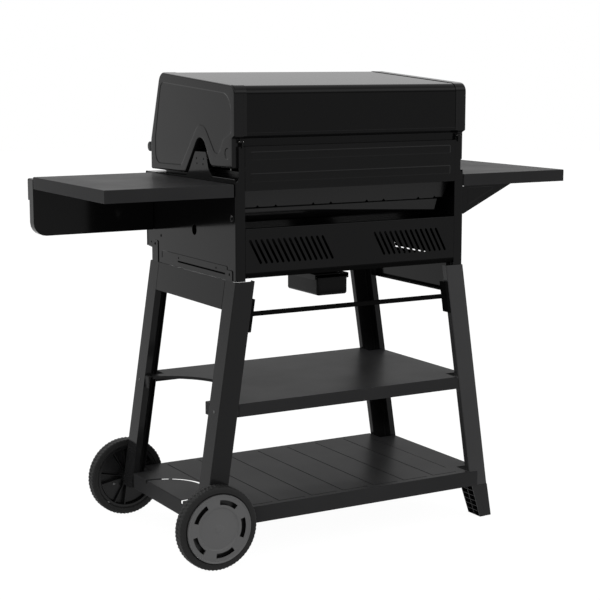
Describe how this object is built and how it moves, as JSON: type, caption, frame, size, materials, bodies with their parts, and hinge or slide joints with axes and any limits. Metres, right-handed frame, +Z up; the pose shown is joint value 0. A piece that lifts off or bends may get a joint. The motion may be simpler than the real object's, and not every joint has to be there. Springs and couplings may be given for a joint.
{
  "type": "gas barbecue grill",
  "caption": "Gas barbecue on a wheeled cart: hinged lid over a slotted firebox, knobs on a front panel, side shelves, leaning channel legs, two plain shelves and a grease catch box.",
  "frame": {"origin": "on the ground, at the middle of the cart", "axes": "+X towards the user's right (the wheel side), +Y towards the back, +Z up"},
  "size_m": [1.26, 0.5675, 1.1233],
  "materials": {
    "enamel": "gloss black vitreous enamel",
    "powder_coat": "gloss black powder coat",
    "cast_iron": "matt seasoned cast iron",
    "steel": "brushed",
    "brass": "satin",
    "plastic": "fine grained black",
    "hubcap_grey": "satin dark grey",
    "rubber": "matt black rubber"
  },
  "bodies": {
    "cart": {"cookbox": "enamel", "flame_tent_right": "enamel", "flame_tent_middle": "enamel", "flame_tent_left": "enamel", "leg_front_right": "powder_coat", "leg_rear_right": "powder_coat", "leg_front_left": "powder_coat", "leg_rear_left": "powder_coat", "side_panel_right": "powder_coat", "side_panel_left": "powder_coat", "apron_right": "powder_coat", "apron_left": "powder_coat", "cross_brace": "powder_coat", "mid_shelf": "powder_coat", "low_shelf": "powder_coat", "rear_heat_shield": "powder_coat", "rear_vent_panel": "powder_coat", "control_panel": "powder_coat", "side_shelf_right": "powder_coat", "side_shelf_left": "powder_coat", "shelf_fascia": "powder_coat", "shelf_bracket_rear": "powder_coat", "shelf_bracket_front": "powder_coat", "grease_box_holder": "powder_coat", "cooking_grate_right": "cast_iron", "cooking_grate_left": "cast_iron", "axle": "steel", "burner_right": "steel", "burner_middle": "steel", "burner_left": "steel", "warming_rack": "steel", "gas_manifold": "steel", "gas_valve_right": "brass", "gas_valve_middle": "brass", "gas_valve_left": "brass", "foot_front_left": "plastic", "foot_rear_left": "plastic"},
    "lid": {"lid_shroud": "enamel", "lid_cap_right": "enamel", "lid_cap_left": "enamel", "lid_handle": "powder_coat", "handle_bracket_right": "powder_coat", "handle_bracket_left": "powder_coat", "lid_thermometer": "steel", "hinge_pin_right": "steel", "hinge_pin_left": "steel"},
    "front_wheel": {"tyre_front": "rubber", "wheel_hub_front": "plastic", "hubcap_front": "hubcap_grey"},
    "rear_wheel": {"tyre_rear": "rubber", "wheel_hub_rear": "plastic", "hubcap_rear": "hubcap_grey"},
    "catch_box": {"grease_box": "powder_coat"},
    "igniter": {"igniter_button": "plastic"},
    "stem_right": {"valve_stem_right": "brass"},
    "knob_right": {"control_knob_right": "plastic"},
    "stem_middle": {"valve_stem_middle": "brass"},
    "knob_middle": {"control_knob_middle": "plastic"},
    "stem_left": {"valve_stem_left": "brass"},
    "knob_left": {"control_knob_left": "plastic"}
  },
  "joints": [
    {"name": "lid_hinge", "type": "hinge", "parent": "cart", "child": "lid", "pos_m": [0, 0.229, 0.972], "axis": [-1, 0, 0], "range_deg": [0, 95]},
    {"name": "front_wheel_spin", "type": "hinge", "parent": "cart", "child": "front_wheel", "pos_m": [0.383, -0.256, 0.0985], "axis": [0, 1, 0], "continuous": true},
    {"name": "rear_wheel_spin", "type": "hinge", "parent": "cart", "child": "rear_wheel", "pos_m": [0.383, 0.256, 0.0985], "axis": [0, 1, 0], "continuous": true},
    {"name": "catch_box_slide", "type": "slide", "parent": "cart", "child": "catch_box", "axis": [0, 1, 0], "range_m": [0, 0.15]},
    {"name": "igniter_push", "type": "slide", "parent": "cart", "child": "igniter", "axis": [0, 1, 0], "range_m": [0, 0.004], "stiffness_N_per_m": 200},
    {"name": "knob_right_push", "type": "slide", "parent": "cart", "child": "stem_right", "axis": [0, 1, 0], "range_m": [0, 0.005], "stiffness_N_per_m": 400},
    {"name": "knob_right_turn", "type": "hinge", "parent": "stem_right", "child": "knob_right", "pos_m": [0.18, -0.2625, 0.79], "axis": [0, -1, 0], "range_deg": [0, 200]},
    {"name": "knob_middle_push", "type": "slide", "parent": "cart", "child": "stem_middle", "axis": [0, 1, 0], "range_m": [0, 0.005], "stiffness_N_per_m": 400},
    {"name": "knob_middle_turn", "type": "hinge", "parent": "stem_middle", "child": "knob_middle", "pos_m": [0, -0.2625, 0.79], "axis": [0, -1, 0], "range_deg": [0, 200]},
    {"name": "knob_left_push", "type": "slide", "parent": "cart", "child": "stem_left", "axis": [0, 1, 0], "range_m": [0, 0.005], "stiffness_N_per_m": 400},
    {"name": "knob_left_turn", "type": "hinge", "parent": "stem_left", "child": "knob_left", "pos_m": [-0.18, -0.2625, 0.79], "axis": [0, -1, 0], "range_deg": [0, 200]}
  ]
}
